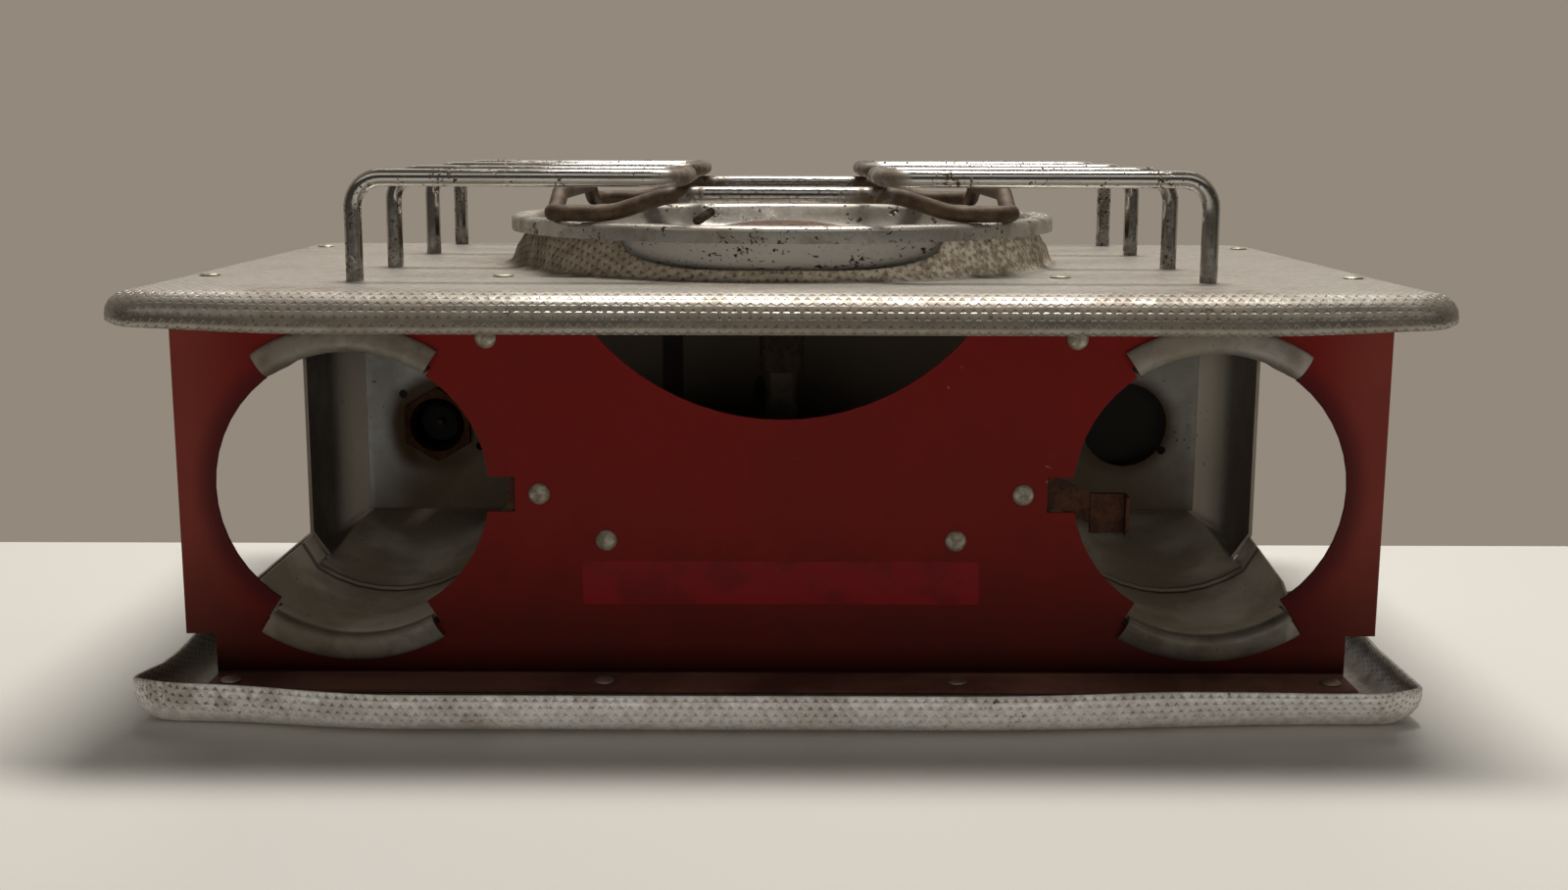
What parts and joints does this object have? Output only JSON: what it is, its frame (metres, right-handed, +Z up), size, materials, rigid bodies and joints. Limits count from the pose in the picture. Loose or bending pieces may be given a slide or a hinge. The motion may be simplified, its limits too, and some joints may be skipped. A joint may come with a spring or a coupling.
{
  "type": "single burner camp stove",
  "caption": "Folded metal camp stove with a round burner bowl, a wire grate and two side-by-side cartridge bays under the deck.",
  "frame": {"origin": "on the ground under the middle of the deck", "axes": "+Z up, +X to the right seen from the open side where the cartridges go in, +Y away from that side, towards the knob"},
  "size_m": [0.347, 0.212, 0.1461],
  "materials": {
    "embossed_aluminium": "embossed with rows of small dimples, dull and stained",
    "spun_aluminium": "spun, worn and lightly stained",
    "red_paint": "gloss red enamel, faded and dirty",
    "galvanised_steel": "galvanised, dull, with grey-brown dirt",
    "rusty_spring_steel": "bare spring steel, rusted brown",
    "burner_iron": "heat-browned",
    "plain_steel": "plain drawn steel",
    "brass": "turned, tarnished",
    "seal_rubber": "matt black rubber",
    "knob_plastic": "moulded black plastic",
    "chrome_wire": "bright plated wire with rust specks",
    "burnt_wire": "plated wire burnt brown by the flame",
    "rivet_aluminium": "domed heads, dull"
  },
  "bodies": {
    "frame": {"base_tray": "embossed_aluminium", "deck_top": "embossed_aluminium", "front_panel": "red_paint", "rear_panel": "red_paint", "left_cradle": "galvanised_steel", "right_cradle": "galvanised_steel", "left_upper_saddle": "galvanised_steel", "right_upper_saddle": "galvanised_steel", "left_bay_bracket": "galvanised_steel", "right_bay_bracket": "galvanised_steel", "burner_strap": "galvanised_steel", "burner_head": "burner_iron", "burner_cap": "burner_iron", "mixing_tube": "plain_steel", "gas_jet": "brass", "valve_body": "brass", "socket_nut": "rusty_spring_steel", "socket_seal": "seal_rubber", "needle": "plain_steel", "packing_nut": "brass", "clip_rivet_left": "rivet_aluminium", "clip_rivet_right": "rivet_aluminium", "lower_rivet_left": "rivet_aluminium", "lower_rivet_right": "rivet_aluminium", "top_rivet_left": "rivet_aluminium", "top_rivet_right": "rivet_aluminium", "deck_rivet_front_inner_left": "rivet_aluminium", "deck_rivet_front_inner_right": "rivet_aluminium", "deck_rivet_front_outer_left": "rivet_aluminium", "deck_rivet_front_outer_right": "rivet_aluminium", "deck_rivet_rear_inner_left": "rivet_aluminium", "deck_rivet_rear_inner_right": "rivet_aluminium", "deck_rivet_rear_outer_left": "rivet_aluminium", "deck_rivet_rear_outer_right": "rivet_aluminium", "tray_rivet_front_inner_left": "rivet_aluminium", "tray_rivet_front_inner_right": "rivet_aluminium", "tray_rivet_front_outer_left": "rivet_aluminium", "tray_rivet_front_outer_right": "rivet_aluminium", "tray_rivet_rear_inner_left": "rivet_aluminium", "tray_rivet_rear_inner_right": "rivet_aluminium", "tray_rivet_rear_outer_left": "rivet_aluminium", "tray_rivet_rear_outer_right": "rivet_aluminium"},
    "bowl": {"burner_bowl": "spun_aluminium"},
    "grate": {"grate_hairpin_front_left": "chrome_wire", "grate_hairpin_front_right": "chrome_wire", "grate_hairpin_rear_left": "chrome_wire", "grate_hairpin_rear_right": "chrome_wire", "grate_loop": "burnt_wire"},
    "knob": {"control_knob": "knob_plastic", "valve_stem": "brass", "knob_screw": "plain_steel"},
    "left_clip": {"left_retaining_clip": "rusty_spring_steel"},
    "right_clip": {"right_retaining_clip": "rusty_spring_steel"}
  },
  "joints": [
    {"name": "bowl_lift", "type": "slide", "parent": "frame", "child": "bowl", "axis": [0, 0, 1], "range_m": [0, 0.06]},
    {"name": "grate_lift", "type": "slide", "parent": "bowl", "child": "grate", "axis": [0, 0, 1], "range_m": [0, 0.06]},
    {"name": "knob_turn", "type": "hinge", "parent": "frame", "child": "knob", "pos_m": [-0.1204, 0.0955, 0.055], "axis": [0, 1, 0], "range_deg": [0, 330]},
    {"name": "left_clip_flex", "type": "hinge", "parent": "frame", "child": "left_clip", "pos_m": [-0.0683, -0.056, 0.0553], "axis": [0, 0, -1], "range_deg": [0, 6], "stiffness_Nm_per_rad": 0.5},
    {"name": "right_clip_flex", "type": "hinge", "parent": "frame", "child": "right_clip", "pos_m": [0.0683, -0.056, 0.0553], "axis": [0, 0, 1], "range_deg": [0, 6], "stiffness_Nm_per_rad": 0.5}
  ]
}
